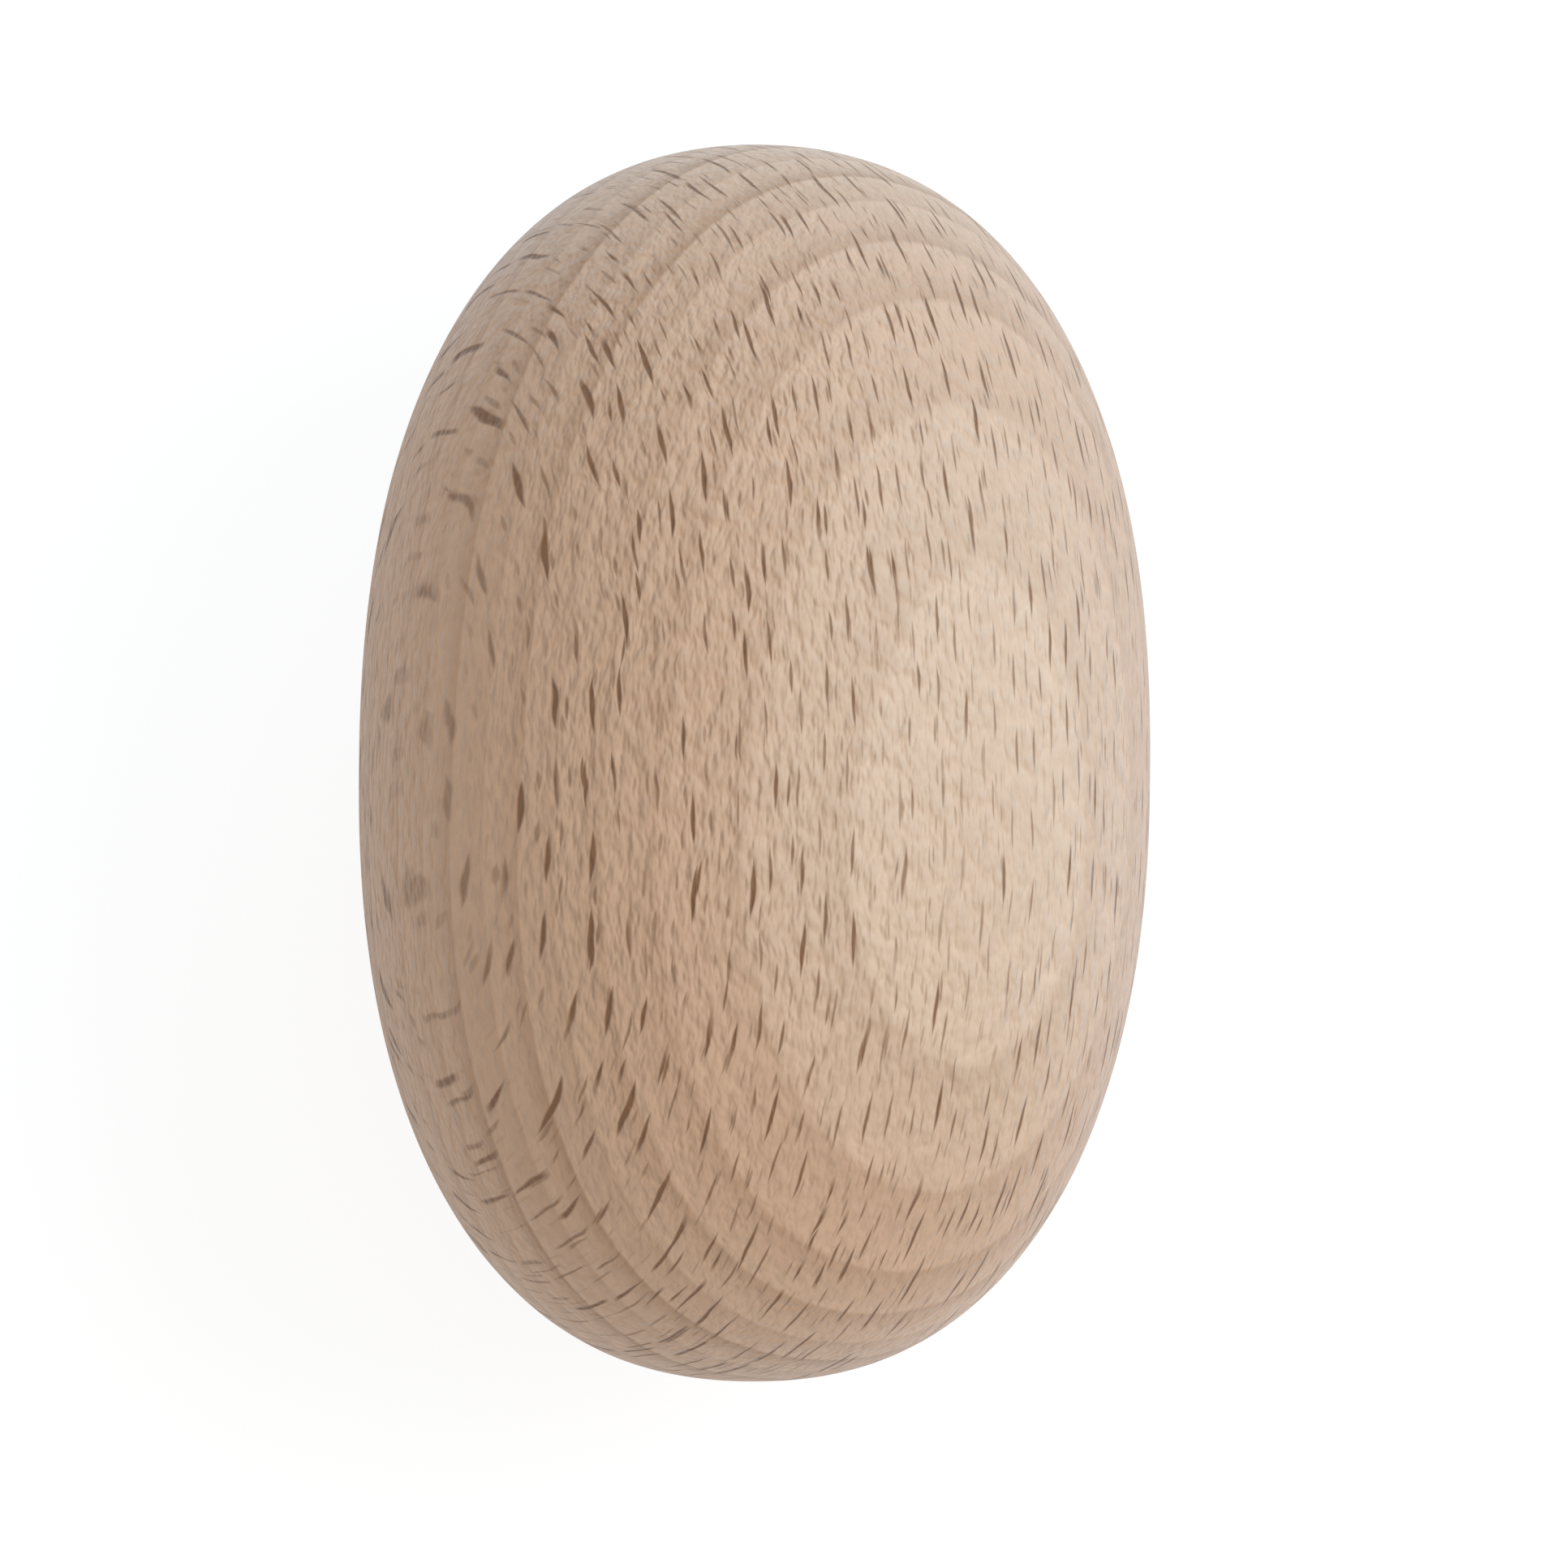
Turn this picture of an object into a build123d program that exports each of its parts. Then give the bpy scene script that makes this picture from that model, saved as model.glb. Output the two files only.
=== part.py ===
from build123d import *
import os
from math import cos, pi, sin

# A darning egg: one piece of beech, turned between centres and sanded smooth all over.
# It lies on its side: its ends are too round to stand on. The turning axis, which is also
# the way of the grain, runs along +Y, +Z is up, and the origin is the egg's centre.
# Millimetres.

DIAMETER = 45.0  # across the middle of the egg
LENGTH = 70.5  # from end to end, along the turning axis
FULLNESS = 2.32  # exponent of the outline: 2 is an ellipse, and more gives fuller shoulders
OUTLINE_POINTS = 13  # points that carry the outline from one end to the other

RADIUS = DIAMETER / 2
HALF_LENGTH = LENGTH / 2


def outline_point(angle):
    """A point of the superellipse outline: -90 and 90 degrees are its ends, 0 is its side."""
    push = (abs(cos(angle)) ** FULLNESS + abs(sin(angle)) ** FULLNESS) ** (-1 / FULLNESS)
    return (RADIUS * push * cos(angle), HALF_LENGTH * push * sin(angle))


def egg_body():
    """The outline, from one end round the side to the other, turned once about the axis."""
    near_end = (0, -HALF_LENGTH)
    far_end = (0, HALF_LENGTH)
    step = pi / (OUTLINE_POINTS - 1)
    between = [outline_point(i * step - pi / 2) for i in range(1, OUTLINE_POINTS - 1)]
    square_on = [(1, 0), (-1, 0)]
    side = Spline(near_end, *between, far_end, tangents=square_on, tangent_scalars=[1, 1])
    axis_line = Line(far_end, near_end)
    half_section = make_face([side, axis_line])
    return revolve(half_section, Axis.Y, 360)


os.makedirs("parts", exist_ok=True)
export_step(egg_body(), "parts/egg_body.step")
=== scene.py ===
import math

import bpy
from mathutils import Matrix, Vector


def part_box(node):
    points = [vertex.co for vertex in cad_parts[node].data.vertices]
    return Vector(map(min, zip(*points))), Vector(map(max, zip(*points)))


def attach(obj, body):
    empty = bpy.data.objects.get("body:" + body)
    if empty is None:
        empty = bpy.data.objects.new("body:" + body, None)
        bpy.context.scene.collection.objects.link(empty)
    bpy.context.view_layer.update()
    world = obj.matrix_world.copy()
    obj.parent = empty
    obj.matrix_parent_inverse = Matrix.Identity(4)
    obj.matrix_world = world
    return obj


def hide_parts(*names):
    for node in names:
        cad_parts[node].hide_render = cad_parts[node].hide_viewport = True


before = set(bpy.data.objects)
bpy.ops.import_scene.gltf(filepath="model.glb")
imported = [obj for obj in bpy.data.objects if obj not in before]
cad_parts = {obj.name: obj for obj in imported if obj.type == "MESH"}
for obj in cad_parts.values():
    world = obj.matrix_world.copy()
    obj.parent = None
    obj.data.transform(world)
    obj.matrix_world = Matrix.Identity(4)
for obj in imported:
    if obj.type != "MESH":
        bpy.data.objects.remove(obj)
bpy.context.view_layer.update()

# ---------------------------------------------------------------------------
# The egg: one lump of beech, turned between centres from a square of sawn
# wood and sanded smooth all over, with nothing on it but its own grain. Its
# outline is a superellipse: an ellipse with slightly fuller shoulders.
# ---------------------------------------------------------------------------
MM = 0.001
FULLNESS = 2.32  # the outline's exponent: 2 would be a plain ellipse
NET_LINES = 127  # lines of the net along each edge of the block it is drawn on
RIDGE = 0.004 * MM  # how far wood of the full summer colour stands above soft spring wood
RIPPLE = 0.030 * MM  # from trough to crest of the slow waves that sanding by hand leaves, at most
RIPPLE_LENGTH = 9.0  # mm from wave to wave

# How the egg lay in the tree, in mm. The heart of the tree is far behind the
# egg, so the year rings cross it as nearly flat sheets, 2 to 3 mm apart.
BARK_TURN = math.radians(35.1)  # from straight up, over towards +X
HEART_AWAY = 300.0
GRAIN_RISE = 0.086  # the grain leans this much to the bark for each mm of +Y
GRAIN_SLEW = -0.042  # and this much along the rings
TO_BARK = (math.sin(BARK_TURN), -GRAIN_RISE, math.cos(BARK_TURN))
ALONG_RING = (math.cos(BARK_TURN), -GRAIN_SLEW, -math.sin(BARK_TURN))
OUTSIDE = 1.5  # mm of the outermost year that lie outside the egg
# Each year's growth from the bark side inwards: its width in mm, and how dark
# its summer wood is.
YEARS = (
    (2.5, 1.1), (2.55, 0.8), (3.05, 0.7), (2.5, 0.9), (2.5, 1.0), (2.2, 0.7), (2.4, 1.4),
    (2.6, 0.7), (2.5, 1.5), (2.9, 0.7), (2.3, 1.0), (2.6, 0.6), (2.2, 1.2), (2.7, 0.8),
    (2.4, 1.0), (2.8, 0.7), (2.5, 1.1), (2.6, 0.8), (2.4, 1.0), (2.6, 0.9),
)
FULL_SUMMER = 2.0  # the darkness at which summer wood would have its full colour
# One year's shade across its width, from its summer edge inwards to its spring edge.
YEAR_SHADE = (
    (0, 0.5), (0.03, 0.97), (0.08, 1), (0.20, 0.76), (0.40, 0.48), (0.65, 0.24), (0.85, 0.08),
    (0.95, 0), (1, 0.5),
)
SUMMER_PLACE = 0.12  # how far into its width a year's summer wood lies


def add(tree, kind, links=None, **settings):
    """Adds a node, gives it its settings, and feeds its inputs with values or other nodes."""
    made = tree.nodes.new(kind)
    for name, value in settings.items():
        setattr(made, name, value)
    for place, source in (links or {}).items():
        if isinstance(source, bpy.types.Node):
            source = source.outputs[0]
        if isinstance(source, bpy.types.NodeSocket):
            tree.links.new(source, made.inputs[place])
        else:
            made.inputs[place].default_value = source
    return made


def bend(curve_node, points, handle="VECTOR"):
    """Shapes a curve node through points (x, y), both from 0 to 1."""
    curve = curve_node.mapping.curves[0]
    while len(curve.points) < len(points):
        curve.points.new(0.5, 0.5)
    for knot, (x, y) in zip(curve.points, points):
        knot.location = (x, y)
        knot.handle_type = handle
    curve_node.mapping.update()


def place_in_tree(tree, spot_mm):
    """Where a spot of the egg lay in the tree: mm along the ring, along the grain, and towards the bark."""
    out = add(tree, "ShaderNodeVectorMath", {0: spot_mm, 1: TO_BARK}, operation="DOT_PRODUCT")
    side = add(tree, "ShaderNodeVectorMath", {0: spot_mm, 1: ALONG_RING}, operation="DOT_PRODUCT")
    grain = add(tree, "ShaderNodeSeparateXYZ", {0: spot_mm})
    from_heart = add(tree, "ShaderNodeMath", {0: out.outputs["Value"], 1: HEART_AWAY}, operation="ADD")
    spoke = add(tree, "ShaderNodeCombineXYZ", {0: side.outputs["Value"], 1: from_heart})
    reach = add(tree, "ShaderNodeVectorMath", {0: spoke}, operation="LENGTH")
    bearing = add(tree, "ShaderNodeMath", {0: side.outputs["Value"], 1: from_heart}, operation="ARCTAN2")
    arc = add(tree, "ShaderNodeMath", {0: bearing, 1: HEART_AWAY}, operation="MULTIPLY")
    outward = add(tree, "ShaderNodeMath", {0: reach.outputs["Value"], 1: HEART_AWAY}, operation="SUBTRACT")
    return add(tree, "ShaderNodeCombineXYZ", {0: arc, 1: grain.outputs["Y"], 2: outward})


def year_rings(tree, place, radius_mm, nudge):
    """How dark the year rings make the wood: 0 in spring wood, and about a half in most summer wood."""
    split = add(tree, "ShaderNodeSeparateXYZ", {0: place})
    depth = add(tree, "ShaderNodeMath", {0: radius_mm, 1: split.outputs["Z"]}, operation="SUBTRACT")
    uneven = add(tree, "ShaderNodeMath", {0: depth, 1: nudge}, operation="ADD")
    span = sum(width for width, _ in YEARS)
    from_first = add(tree, "ShaderNodeMath", {0: uneven, 1: OUTSIDE}, operation="ADD")
    share = add(tree, "ShaderNodeMath", {0: from_first, 1: span}, operation="DIVIDE", use_clamp=True)
    edges = [sum(width for width, _ in YEARS[:i]) / span for i in range(len(YEARS) + 1)]
    count = add(tree, "ShaderNodeFloatCurve", {"Value": share})
    bend(count, [(edge, i / len(YEARS)) for i, edge in enumerate(edges)])
    ring = add(tree, "ShaderNodeMath", {0: count, 1: float(len(YEARS))}, operation="MULTIPLY")
    age = add(tree, "ShaderNodeMath", {0: ring}, operation="FRACT")
    dark = add(tree, "ShaderNodeFloatCurve", {"Value": age})
    bend(dark, YEAR_SHADE)
    weight = add(tree, "ShaderNodeFloatCurve", {"Value": share})
    summers = [edge + SUMMER_PLACE * (next_edge - edge) for edge, next_edge in zip(edges, edges[1:])]
    bend(weight, [(summer, heavy / FULL_SUMMER) for summer, (_, heavy) in zip(summers, YEARS)], "AUTO")
    return add(tree, "ShaderNodeMath", {0: dark, 1: weight}, operation="MULTIPLY")


def egg_net():
    """The tree that draws the egg: a block's net of squares, blown up to the turned shape."""
    tree = bpy.data.node_groups.new("turned_egg", "GeometryNodeTree")
    tree.is_modifier = True
    asked = {}
    face = tree.interface
    for name, kind in (
        ("Diameter", "NodeSocketFloat"),
        ("Length", "NodeSocketFloat"),
        ("Fullness", "NodeSocketFloat"),
        ("Net Lines", "NodeSocketInt"),
        ("Ring Ridge", "NodeSocketFloat"),
        ("Hand Ripple", "NodeSocketFloat"),
        ("Ripple Length", "NodeSocketFloat"),
        ("Wood", "NodeSocketMaterial"),
    ):
        asked[name] = face.new_socket(name, in_out="INPUT", socket_type=kind).identifier
    face.new_socket("Geometry", in_out="OUTPUT", socket_type="NodeSocketGeometry")
    given = add(tree, "NodeGroupInput").outputs

    # The block reaches 1 each way, and the tangent of an eighth turn spaces its net evenly on a ball.
    lines = given["Net Lines"]
    block = add(
        tree, "GeometryNodeMeshCube",
        {"Size": (2, 2, 2), "Vertices X": lines, "Vertices Y": lines, "Vertices Z": lines},
    )
    corner = add(tree, "GeometryNodeInputPosition")
    eighth = add(tree, "ShaderNodeVectorMath", {0: corner, 3: math.pi / 4}, operation="SCALE")
    evened = add(tree, "ShaderNodeVectorMath", {0: eighth}, operation="TANGENT")
    ball = add(tree, "ShaderNodeVectorMath", {0: evened}, operation="NORMALIZE")

    # Each spot moves straight out until the powers of its two shares add up to 1.
    flat = add(tree, "ShaderNodeVectorMath", {0: ball, 1: (1, 0, 1)}, operation="MULTIPLY")
    across = add(tree, "ShaderNodeVectorMath", {0: flat}, operation="LENGTH")
    split = add(tree, "ShaderNodeSeparateXYZ", {0: ball})
    along = add(tree, "ShaderNodeMath", {0: split.outputs["Y"]}, operation="ABSOLUTE")
    across_power = add(
        tree, "ShaderNodeMath", {0: across.outputs["Value"], 1: given["Fullness"]}, operation="POWER"
    )
    along_power = add(tree, "ShaderNodeMath", {0: along, 1: given["Fullness"]}, operation="POWER")
    both = add(tree, "ShaderNodeMath", {0: across_power, 1: along_power}, operation="ADD")
    root = add(tree, "ShaderNodeMath", {0: -1.0, 1: given["Fullness"]}, operation="DIVIDE")
    push = add(tree, "ShaderNodeMath", {0: both, 1: root}, operation="POWER")
    shoulder = add(tree, "ShaderNodeVectorMath", {0: ball, 3: push}, operation="SCALE")
    sizes = add(
        tree, "ShaderNodeCombineXYZ", {0: given["Diameter"], 1: given["Length"], 2: given["Diameter"]}
    )
    halves = add(tree, "ShaderNodeVectorMath", {0: sizes, 3: 0.5}, operation="SCALE")
    turned_spot = add(tree, "ShaderNodeVectorMath", {0: shoulder, 1: halves}, operation="MULTIPLY")
    turned = add(tree, "GeometryNodeSetPosition", {"Geometry": block, "Position": turned_spot})

    # Sanding leaves the summer wood a little proud, and slow waves all over.
    spot = add(tree, "GeometryNodeInputPosition")
    spot_mm = add(tree, "ShaderNodeVectorMath", {0: spot, 3: 1 / MM}, operation="SCALE")
    place = place_in_tree(tree, spot_mm)
    radius_mm = add(tree, "ShaderNodeMath", {0: given["Diameter"], 1: 0.5 / MM}, operation="MULTIPLY")
    dark = year_rings(tree, place, radius_mm, 0.0)
    ridge = add(tree, "ShaderNodeMath", {0: dark, 1: given["Ring Ridge"]}, operation="MULTIPLY")
    wave_spot = add(
        tree, "ShaderNodeVectorMath", {0: spot_mm, 1: given["Ripple Length"]}, operation="DIVIDE"
    )
    wave = add(tree, "ShaderNodeTexNoise", {"Vector": wave_spot, "Scale": 1.0, "Detail": 1.0})
    level = add(tree, "ShaderNodeMath", {0: wave, 1: 0.5}, operation="SUBTRACT")
    ripple = add(tree, "ShaderNodeMath", {0: level, 1: given["Hand Ripple"]}, operation="MULTIPLY")
    relief = add(tree, "ShaderNodeMath", {0: ridge, 1: ripple}, operation="ADD")
    outward = add(tree, "GeometryNodeInputNormal")
    lift = add(tree, "ShaderNodeVectorMath", {0: outward, 3: relief}, operation="SCALE")
    sanded = add(tree, "GeometryNodeSetPosition", {"Geometry": turned, "Offset": lift})
    smooth = add(tree, "GeometryNodeSetShadeSmooth", {"Geometry": sanded})
    real = add(tree, "GeometryNodeRealizeInstances", {"Geometry": smooth})
    wooden = add(tree, "GeometryNodeSetMaterial", {"Geometry": real, "Material": given["Wood"]})
    add(tree, "NodeGroupOutput", {0: wooden})
    return tree, asked


# Beech, sanded and left bare: pale pinkish brown and dull, with soft darker
# lines where each year's growth ends, and the short dark flecks of its rays,
# which are thin upright plates of cells that run from the heart to the bark.
OUTER_WOOD = "#E0C1A5"  # towards the bark
INNER_WOOD = "#D9B394"  # towards the heart: a little darker and pinker
INNER_DEPTH = 6.0  # mm from the bark side at which the wood has its inner colour
SUMMER_WOOD = "#AC8362"  # the dense wood that ends each year
RAY_BROWN = "#845B38"  # the cells of a ray, cut across
RINGS_ON_SIDES = 0.52  # how strongly the rings show on the egg's sides, where its ends have 1
RINGS_RISE = (0.1, 0.5)  # how far the surface faces an end, from 0 to 1, while that rises
RAYS = (
    # In mm along the ring, the grain and the radius: the room for one ray, and half its size.
    # The last number is how dark it is.
    ("broad", (1.2, 4.3, 3.8), (0.17, 1.85, 1.8), 1.4),
    ("middling", (2.0, 3.4, 3.2), (0.13, 1.2, 1.5), 1.1),
    ("narrow", (1.0, 2.4, 2.4), (0.12, 0.75, 1.1), 0.6),
    ("fine", (0.55, 1.5, 1.8), (0.09, 0.6, 0.8), 0.16),
)
FIRST_SEED = 3.0  # each kind of ray is set out from a seed of its own
SEED_STEP = 17.0
SMALLEST_RAY = 0.5  # next to the largest of its kind
RAY_CORE = 0.25  # how far from its middle a ray has its full colour, as a share of its half size
RAY_RUN_OUT = 0.6  # the same along the radius, before it fades out
STAGGER = 9  # how many rooms one column of rays can slide along the next
RAYS_PAINTED_LIT = 0.72  # how dark rays are on the bark side, where those further in have 1
# Rays are painted paler on the bark side, which faces the key light: painted light, for flecks lit head on.
LAID_OPEN = 0.94  # how flat the surface lies to the plates of the rays, from 0 to 1, where it opens them
LAID_OPEN_RAYS = 0.45  # how dark rays are where they lie fully open
WANDER_LENGTH = 5.0  # mm over which the grain wanders
WANDER = (0.8, 0.0, 0.4)  # mm along X, Y and Z from the furthest one way to the furthest the other
SLOW_LENGTH = 16.0  # mm of the slow swings of a ring's edge
SLOW_SWING = 0.4  # mm from side to side, at most
QUICK_LENGTHS = (1.1, 3.5, 3.5)  # mm of its quick swings, along the ring, the grain and the radius
QUICK_SWING = 0.16  # mm from side to side, at most
STRANDS = (0.42, 1.15, 0.45)  # mm across one strand, along it, and through it
LUMPS = 1.3  # mm from one soft lump to the next
LUMP_SHARE = 0.75  # how much the lumps count next to the strands
FIBRE_RANGE = (0.47, 1.28)  # about the lowest and highest that strands and lumps together reach
FIBRE_SHADE = 0.08  # how much lighter or darker than the wood a strand can be
STRAND_RELIEF = 0.30  # mm of height for each 1 of strands and lumps together: more than is real, to show
END_RELIEF = 0.15  # the same on end grain, which sands smoother
RELIEF_TURNS = (0.2, 0.7)  # how far the surface faces an end, from 0 to 1, while one turns to the other
RING_RELIEF = 0.012  # mm that wood of the full summer colour stands up
RAY_RELIEF = 0.04  # mm that a ray lies lower
ROUGHNESS = 0.62  # dull: sanded, with no oil or varnish
WOOD_IOR = 1.45
SHEEN = 0.33  # from the fine fibre ends that sanding leaves standing
SHEEN_ROUGHNESS = 0.5


def linear(hex_colour):
    """An sRGB hex colour as the linear RGBA that the nodes take."""
    parts = [int(hex_colour[i : i + 2], 16) / 255 for i in (1, 3, 5)]
    return (*[c / 12.92 if c <= 0.04045 else ((c + 0.055) / 1.055) ** 2.4 for c in parts], 1.0)


def rays(tree, place, room, half, seed):
    """How deep inside a ray each spot lies, 0 to 1: every box of the wood holds one, set at random."""
    boxes = add(tree, "ShaderNodeVectorMath", {0: place, 1: room}, operation="DIVIDE")
    split = add(tree, "ShaderNodeSeparateXYZ", {0: boxes})
    column = add(tree, "ShaderNodeMath", {0: split.outputs["X"]}, operation="FLOOR")
    seeded = add(tree, "ShaderNodeMath", {0: column, 1: seed}, operation="ADD")
    slide = add(tree, "ShaderNodeTexWhiteNoise", {"W": seeded}, noise_dimensions="1D")
    staggered = add(
        tree, "ShaderNodeVectorMath", {0: slide.outputs["Color"], 1: (0, STAGGER, STAGGER), 2: boxes},
        operation="MULTIPLY_ADD",
    )
    box = add(tree, "ShaderNodeVectorMath", {0: staggered}, operation="FLOOR")
    inside = add(tree, "ShaderNodeVectorMath", {0: staggered}, operation="FRACTION")
    marked = add(tree, "ShaderNodeVectorMath", {0: box, 1: (seed, seed, seed)}, operation="ADD")
    chance = add(tree, "ShaderNodeTexWhiteNoise", {"Vector": marked}, noise_dimensions="3D")
    inset = tuple(h / r for h, r in zip(half, room))
    slack = tuple(1 - 2 * i for i in inset)
    centre = add(
        tree, "ShaderNodeVectorMath", {0: chance.outputs["Color"], 1: slack, 2: inset},
        operation="MULTIPLY_ADD",
    )
    offset = add(tree, "ShaderNodeVectorMath", {0: inside, 1: centre}, operation="SUBTRACT")
    size = add(tree, "ShaderNodeMapRange", {"Value": chance.outputs["Value"], "To Min": SMALLEST_RAY})
    reach = add(tree, "ShaderNodeVectorMath", {0: offset, 1: inset}, operation="DIVIDE")
    far = add(tree, "ShaderNodeVectorMath", {0: reach}, operation="ABSOLUTE")
    way = add(tree, "ShaderNodeSeparateXYZ", {0: far})
    # Cut across, a ray is a spindle: two parabolas that meet in a point above and below.
    taper = add(tree, "ShaderNodeMath", {0: way.outputs["Y"], 1: 2.0}, operation="POWER")
    spindle = add(tree, "ShaderNodeMath", {0: taper, 1: way.outputs["X"]}, operation="ADD")
    scaled = add(tree, "ShaderNodeMath", {0: spindle, 1: size}, operation="DIVIDE")
    core = add(
        tree, "ShaderNodeMapRange", {"Value": scaled, "From Min": 1.0, "From Max": RAY_CORE},
        interpolation_type="SMOOTHSTEP",
    )
    run_out = add(
        tree, "ShaderNodeMapRange", {"Value": way.outputs["Z"], "From Min": 1.0, "From Max": RAY_RUN_OUT}
    )
    whole = add(tree, "ShaderNodeMath", {0: core, 1: run_out}, operation="MULTIPLY")
    return add(tree, "ShaderNodeMath", {0: whole, 1: size}, operation="MULTIPLY")


def bare_beech(radius_mm):
    """Sanded beech, worked out all through an egg of this radius from where each spot lay in the tree."""
    wood = bpy.data.materials.new("beech_sanded_bare")
    wood.use_nodes = True
    tree = wood.node_tree
    tree.nodes.clear()
    seat = add(tree, "ShaderNodeTexCoord")
    spot_mm = add(tree, "ShaderNodeVectorMath", {0: seat.outputs["Object"], 3: 1 / MM}, operation="SCALE")

    # The grain wanders by a fraction of a millimetre, and carries the rays with it.
    wander = add(
        tree, "ShaderNodeTexNoise",
        {"Vector": spot_mm, "Scale": 1 / WANDER_LENGTH, "Detail": 2.0, "Roughness": 0.5},
    )
    wandering = add(
        tree, "ShaderNodeVectorMath", {0: wander.outputs["Color"], 1: (0.5, 0.5, 0.5)},
        operation="SUBTRACT",
    )
    carried = add(
        tree, "ShaderNodeVectorMath", {0: wandering, 1: WANDER, 2: spot_mm}, operation="MULTIPLY_ADD"
    )
    place = place_in_tree(tree, carried)

    # A year ring keeps its course, and only its edge swings, slowly and quickly.
    slow = add(tree, "ShaderNodeTexNoise", {"Vector": spot_mm, "Scale": 1 / SLOW_LENGTH, "Detail": 1.0})
    slow_level = add(tree, "ShaderNodeMath", {0: slow, 1: 0.5}, operation="SUBTRACT")
    stretched = add(tree, "ShaderNodeVectorMath", {0: place, 1: QUICK_LENGTHS}, operation="DIVIDE")
    quick = add(tree, "ShaderNodeTexNoise", {"Vector": stretched, "Scale": 1.0, "Detail": 2.0})
    quick_level = add(tree, "ShaderNodeMath", {0: quick, 1: 0.5}, operation="SUBTRACT")
    slow_mm = add(tree, "ShaderNodeMath", {0: slow_level, 1: SLOW_SWING}, operation="MULTIPLY")
    nudge = add(
        tree, "ShaderNodeMath", {0: quick_level, 1: QUICK_SWING, 2: slow_mm}, operation="MULTIPLY_ADD"
    )
    dark = year_rings(tree, place_in_tree(tree, spot_mm), radius_mm, nudge)

    bark_side = add(tree, "ShaderNodeSeparateXYZ", {0: place})
    inward = add(
        tree, "ShaderNodeMapRange",
        {"Value": bark_side.outputs["Z"], "From Min": radius_mm, "From Max": radius_mm - INNER_DEPTH},
        interpolation_type="SMOOTHSTEP",
    )
    spring = add(
        tree, "ShaderNodeMix", {0: inward, 6: linear(OUTER_WOOD), 7: linear(INNER_WOOD)}, data_type="RGBA"
    )
    # The rings show most on end grain.
    towards = add(tree, "ShaderNodeSeparateXYZ", {0: seat.outputs["Normal"]})
    endwise = add(tree, "ShaderNodeMath", {0: towards.outputs["Y"]}, operation="ABSOLUTE")
    start, end = RINGS_RISE
    on_ends = add(
        tree, "ShaderNodeMapRange",
        {"Value": endwise, "From Min": start, "From Max": end, "To Min": RINGS_ON_SIDES, "To Max": 1.0},
    )
    ringed_wood = add(tree, "ShaderNodeMath", {0: dark, 1: on_ends}, operation="MULTIPLY")
    body = add(
        tree, "ShaderNodeMix", {0: ringed_wood, 6: spring.outputs[2], 7: linear(SUMMER_WOOD)},
        data_type="RGBA",
    )

    # Fibre: wavy strands that run with the grain, over softer lumps. A real fibre is about a fiftieth
    # of a millimetre across, too fine to show, so each strand stands for a bundle of them.
    thread = add(tree, "ShaderNodeVectorMath", {0: place, 1: STRANDS}, operation="DIVIDE")
    strands = add(
        tree, "ShaderNodeTexNoise", {"Vector": thread, "Scale": 1.0, "Detail": 1.0, "Roughness": 0.5}
    )
    lumps = add(tree, "ShaderNodeTexNoise", {"Vector": carried, "Scale": 1 / LUMPS, "Detail": 1.0})
    both = add(tree, "ShaderNodeMath", {0: lumps, 1: LUMP_SHARE, 2: strands}, operation="MULTIPLY_ADD")
    lowest, highest = FIBRE_RANGE
    lightest, darkest = 1 + FIBRE_SHADE, 1 - FIBRE_SHADE
    shade = add(
        tree, "ShaderNodeMapRange",
        {"Value": both, "From Min": lowest, "From Max": highest, "To Min": lightest, "To Max": darkest},
    )
    colour = add(tree, "ShaderNodeVectorMath", {0: body.outputs[2], 3: shade}, operation="SCALE")

    # Rays are paler towards the bark, and where the cut lays them open instead of crossing them.
    # The paleness towards the bark is painted light: the bark side faces the key light, which strikes its
    # flecks head on.
    depth = add(tree, "ShaderNodeMapRange", {"Value": inward, "To Min": RAYS_PAINTED_LIT, "To Max": 1.0})
    facing = add(
        tree, "ShaderNodeVectorMath", {0: seat.outputs["Normal"], 1: ALONG_RING}, operation="DOT_PRODUCT"
    )
    openness = add(tree, "ShaderNodeMath", {0: facing.outputs["Value"]}, operation="ABSOLUTE")
    laid_open = add(
        tree, "ShaderNodeMapRange",
        {"Value": openness, "From Min": LAID_OPEN, "To Min": 1.0, "To Max": LAID_OPEN_RAYS},
    )
    shown_by = add(tree, "ShaderNodeMath", {0: depth, 1: laid_open}, operation="MULTIPLY")

    ray_total = None
    for number, (name, room, half, strength) in enumerate(RAYS):
        mask = rays(tree, place, room, half, SEED_STEP * number + FIRST_SEED)
        full = add(tree, "ShaderNodeMath", {0: mask, 1: strength}, operation="MULTIPLY", label=name)
        shown = add(tree, "ShaderNodeMath", {0: full, 1: shown_by}, operation="MULTIPLY")
        tinted = add(tree, "ShaderNodeMix", {0: shown, 6: colour, 7: linear(RAY_BROWN)}, data_type="RGBA")
        colour = tinted.outputs[2]
        if ray_total is None:
            ray_total = shown
        else:
            ray_total = add(tree, "ShaderNodeMath", {0: ray_total, 1: shown}, operation="MAXIMUM")

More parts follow.
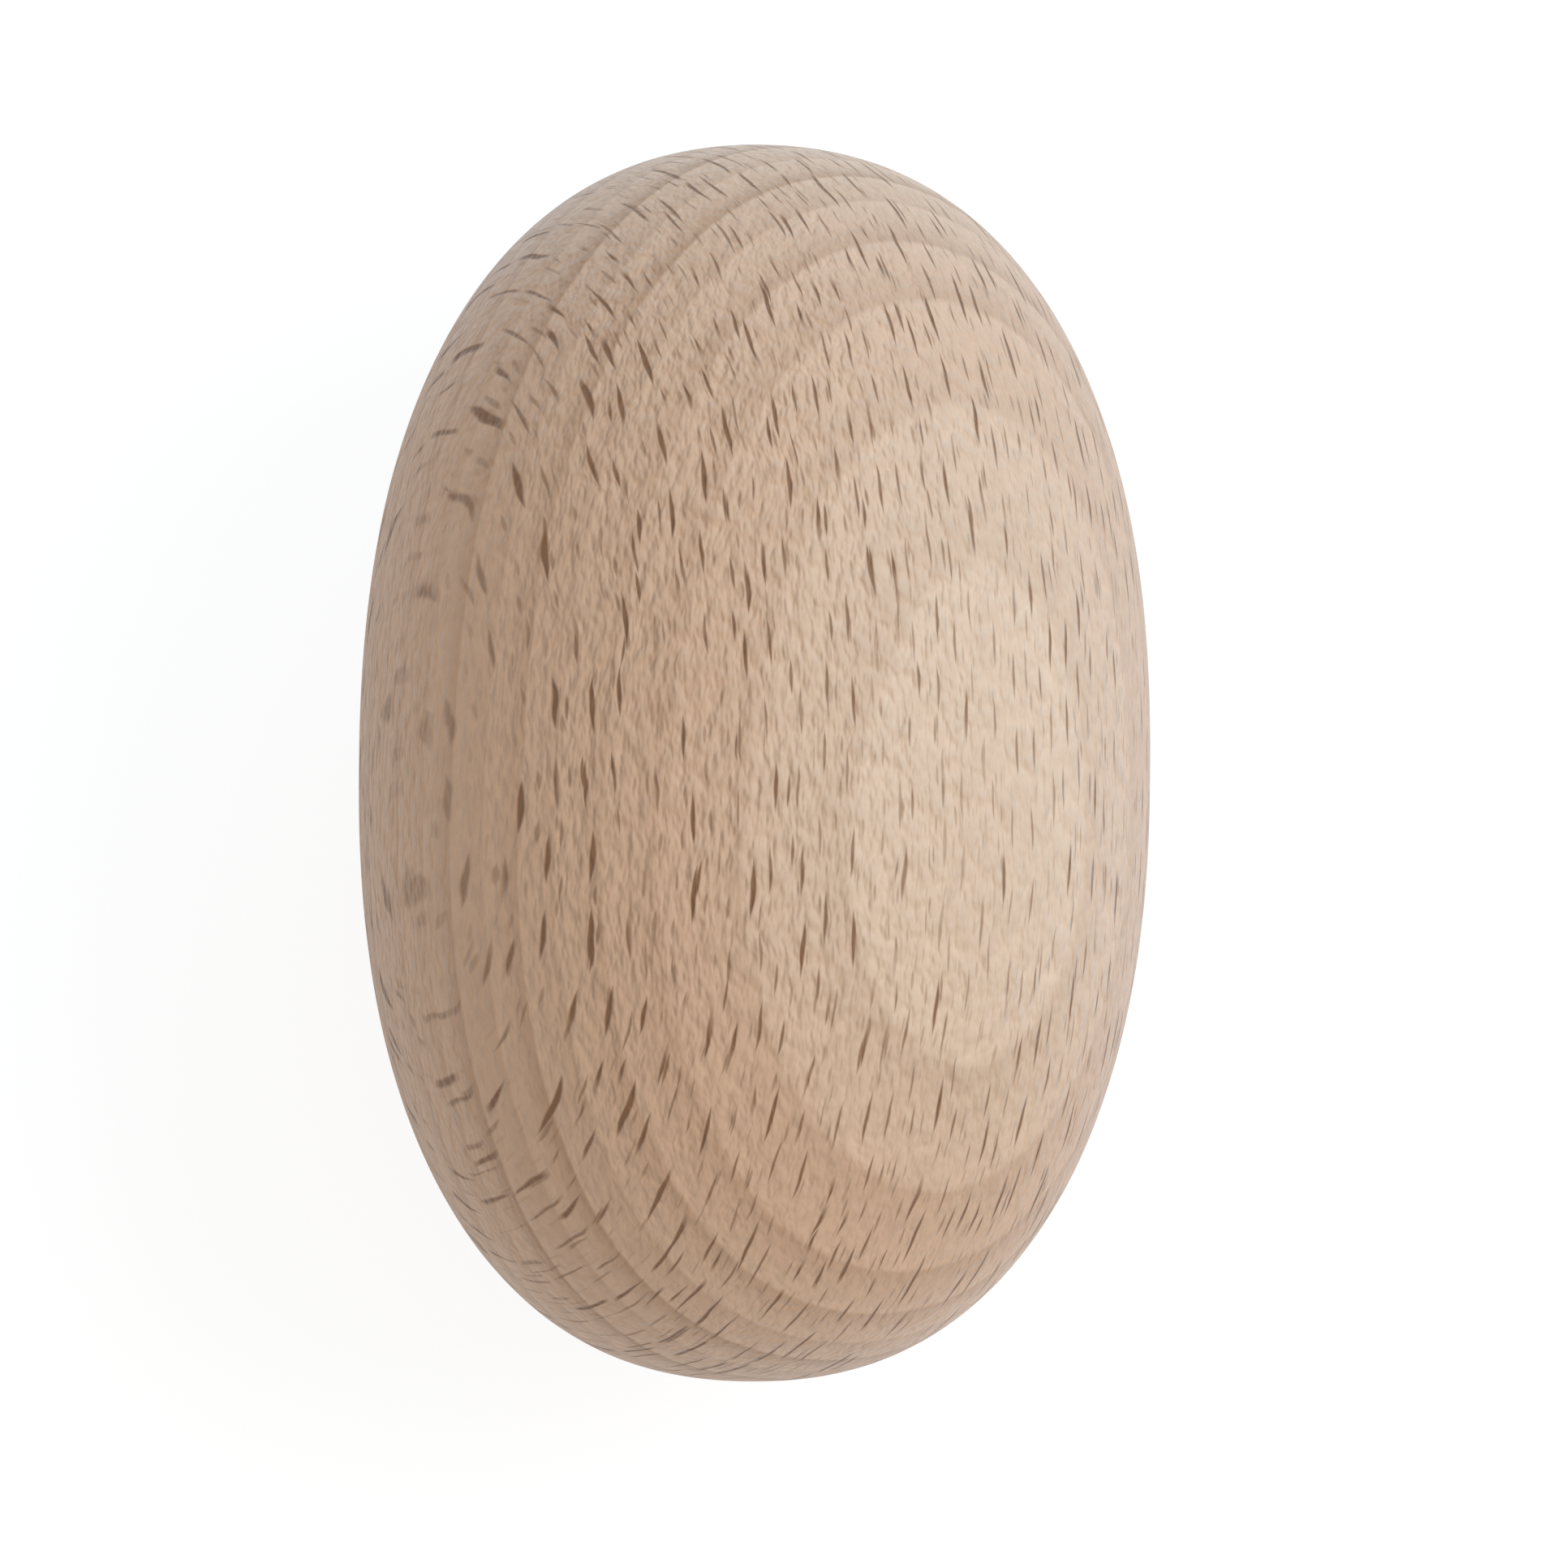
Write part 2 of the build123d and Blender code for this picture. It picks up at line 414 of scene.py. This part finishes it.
    # Relief in mm: strands and hard summer wood stand up, and rays lie a little lower.
    start, end = RELIEF_TURNS
    height = add(
        tree, "ShaderNodeMapRange",
        {
            "Value": endwise,
            "From Min": start,
            "From Max": end,
            "To Min": STRAND_RELIEF,
            "To Max": END_RELIEF,
        },
    )
    raised = add(tree, "ShaderNodeMath", {0: both, 1: height}, operation="MULTIPLY")
    ringed = add(tree, "ShaderNodeMath", {0: dark, 1: RING_RELIEF, 2: raised}, operation="MULTIPLY_ADD")
    sunk = add(tree, "ShaderNodeMath", {0: ray_total, 1: -RAY_RELIEF, 2: ringed}, operation="MULTIPLY_ADD")
    relief = add(tree, "ShaderNodeBump", {"Strength": 1.0, "Distance": MM, "Height": sunk})
    finish = add(
        tree, "ShaderNodeBsdfPrincipled",
        {
            "Base Color": colour,
            "Roughness": ROUGHNESS,
            "IOR": WOOD_IOR,
            "Sheen Weight": SHEEN,
            "Sheen Roughness": SHEEN_ROUGHNESS,
            "Normal": relief,
        },
    )
    add(tree, "ShaderNodeOutputMaterial", {"Surface": finish})
    return wood


low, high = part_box("egg_body")
tree, asked = egg_net()
rough_egg = bpy.data.objects.new("rough_egg", bpy.data.meshes.new("rough_egg"))
bpy.context.scene.collection.objects.link(rough_egg)
lathe = rough_egg.modifiers.new("lathe", "NODES")
lathe.node_group = tree
beech = bare_beech((high.x - low.x) / 2 / MM)
for name, value in (
    ("Diameter", high.x - low.x),
    ("Length", high.y - low.y),
    ("Fullness", FULLNESS),
    ("Net Lines", NET_LINES),
    ("Ring Ridge", RIDGE),
    ("Hand Ripple", RIPPLE),
    ("Ripple Length", RIPPLE_LENGTH),
    ("Wood", beech),
):
    lathe[asked[name]] = value
solid = bpy.data.meshes.new_from_object(rough_egg.evaluated_get(bpy.context.evaluated_depsgraph_get()))
bpy.data.objects.remove(rough_egg)
egg = bpy.data.objects.new("turned_egg", solid)
bpy.context.scene.collection.objects.link(egg)
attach(egg, "root")
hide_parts("egg_body")

# ---------------------------------------------------------------------------
# The table: a plain pale floor of matt white paper that touches the egg from
# below. It keeps the egg's shadow, though only faintly where it is looked at.
# ---------------------------------------------------------------------------
FLOOR_WHITE = "#E6E6E6"
FLOOR_REACH = 3.0
SHADOW_FADE = 0.72  # how much of the floor the camera sees as plain white, so its shadow is faint
GLOW = 1.2  # the strength of that white: over 1, so that it is still white once mixed with the lit paper
floor_mesh = bpy.data.meshes.new("floor")
sheet_corners = [(x * FLOOR_REACH, y * FLOOR_REACH, low.z) for x, y in ((-1, -1), (1, -1), (1, 1), (-1, 1))]
floor_mesh.from_pydata(sheet_corners, [], [(0, 1, 2, 3)])
floor = bpy.data.objects.new("floor", floor_mesh)
bpy.context.scene.collection.objects.link(floor)
paper = bpy.data.materials.new("white_paper_floor")
paper.use_nodes = True
tree = paper.node_tree
tree.nodes.clear()
sight = add(tree, "ShaderNodeLightPath")
seen = add(
    tree, "ShaderNodeMath", {0: sight.outputs["Is Camera Ray"], 1: sight.outputs["Is Glossy Ray"]},
    operation="MAXIMUM",
)
faded = add(tree, "ShaderNodeMath", {0: seen, 1: SHADOW_FADE}, operation="MULTIPLY")
glow = add(tree, "ShaderNodeEmission", {"Color": (1, 1, 1, 1), "Strength": GLOW})
matt = add(tree, "ShaderNodeBsdfDiffuse", {"Color": linear(FLOOR_WHITE)})
both = add(tree, "ShaderNodeMixShader", {0: faded, 1: matt, 2: glow})
add(tree, "ShaderNodeOutputMaterial", {"Surface": both})
floor_mesh.materials.append(paper)

# ---------------------------------------------------------------------------
# The light: a soft key box halfway up at the right, a cool window box low at
# the far right, and an even white room that fills in all round.
# ---------------------------------------------------------------------------
BOX_AWAY = 0.9
BOX_WIDTH = 0.5
ROOM_STRENGTH = 0.52
ROOM_TINT = (1.0, 0.99, 0.97, 1.0)  # of the room's light: a trace warm
PLAIN_WHITE = (1.0, 1.0, 1.0, 1.0)  # what the camera and reflections see of the room
centre = (low + high) / 2


def soft_box(name, turn, rise, watts, tint):
    """A square lamp aimed at the egg, turn degrees from +X towards +Y and rise degrees above the floor."""
    lamp = bpy.data.lights.new(name, "AREA")
    lamp.shape = "SQUARE"
    lamp.size = BOX_WIDTH
    lamp.energy = watts
    lamp.color = tint
    box = bpy.data.objects.new(name, lamp)
    around, above = math.radians(turn), math.radians(rise)
    level = math.cos(above)
    step = Vector((math.cos(around) * level, math.sin(around) * level, math.sin(above))) * BOX_AWAY
    box.location = centre + step
    box.rotation_euler = step.to_track_quat("Z", "Y").to_euler()
    bpy.context.scene.collection.objects.link(box)


soft_box("key_box", turn=8, rise=47, watts=3.7, tint=(0.93, 0.97, 1.0))
# The window's box is strongly blue, for the cool cast that it gives the far side.
soft_box("window_box", turn=60, rise=15, watts=3.5, tint=(0.25, 0.62, 1.0))

room = bpy.data.worlds.new("white_room")
room.use_nodes = True
tree = room.node_tree
tree.nodes.clear()
sight = add(tree, "ShaderNodeLightPath")
direct = add(
    tree, "ShaderNodeMath", {0: sight.outputs["Is Camera Ray"], 1: sight.outputs["Is Glossy Ray"]},
    operation="MAXIMUM",
)
strength = add(tree, "ShaderNodeMapRange", {"Value": direct, "To Min": ROOM_STRENGTH, "To Max": 1.0})
shade = add(tree, "ShaderNodeMix", {0: direct, 6: ROOM_TINT, 7: PLAIN_WHITE}, data_type="RGBA")
sky = add(tree, "ShaderNodeBackground", {"Color": shade.outputs[2], "Strength": strength})
add(tree, "ShaderNodeOutputWorld", {"Surface": sky})
bpy.context.scene.world = room

# ---------------------------------------------------------------------------
# The camera: nearly straight above, leaning to the near end of the egg, and
# aimed a little off its middle.
# ---------------------------------------------------------------------------
CAMERA_AWAY = 0.6
CAMERA_LEAN = math.radians(9)
CAMERA_ROLL = math.radians(0.5)
FRAME_WIDTH = 0.0892  # what the frame spans at the egg's middle
SENSOR = 36.0
AIM_RIGHT = 1.62 * MM
AIM_NEARER = 1.29 * MM
aim = centre + Vector((AIM_RIGHT, -AIM_NEARER, 0))
lens = bpy.data.cameras.new("camera")
lens.sensor_width = SENSOR
lens.lens = SENSOR * CAMERA_AWAY / FRAME_WIDTH
camera = bpy.data.objects.new("camera", lens)
back = Vector((0, -math.sin(CAMERA_LEAN), math.cos(CAMERA_LEAN)))
up = Vector((0, math.cos(CAMERA_LEAN), math.sin(CAMERA_LEAN)))
right = up.cross(back)
facing = Matrix((right, up, back)).transposed().to_4x4()
stand = Matrix.Translation(aim + back * CAMERA_AWAY)
camera.matrix_world = stand @ facing @ Matrix.Rotation(CAMERA_ROLL, 4, "Z")
bpy.context.scene.collection.objects.link(camera)
bpy.context.scene.camera = camera
bpy.context.scene.view_settings.view_transform = "Standard"
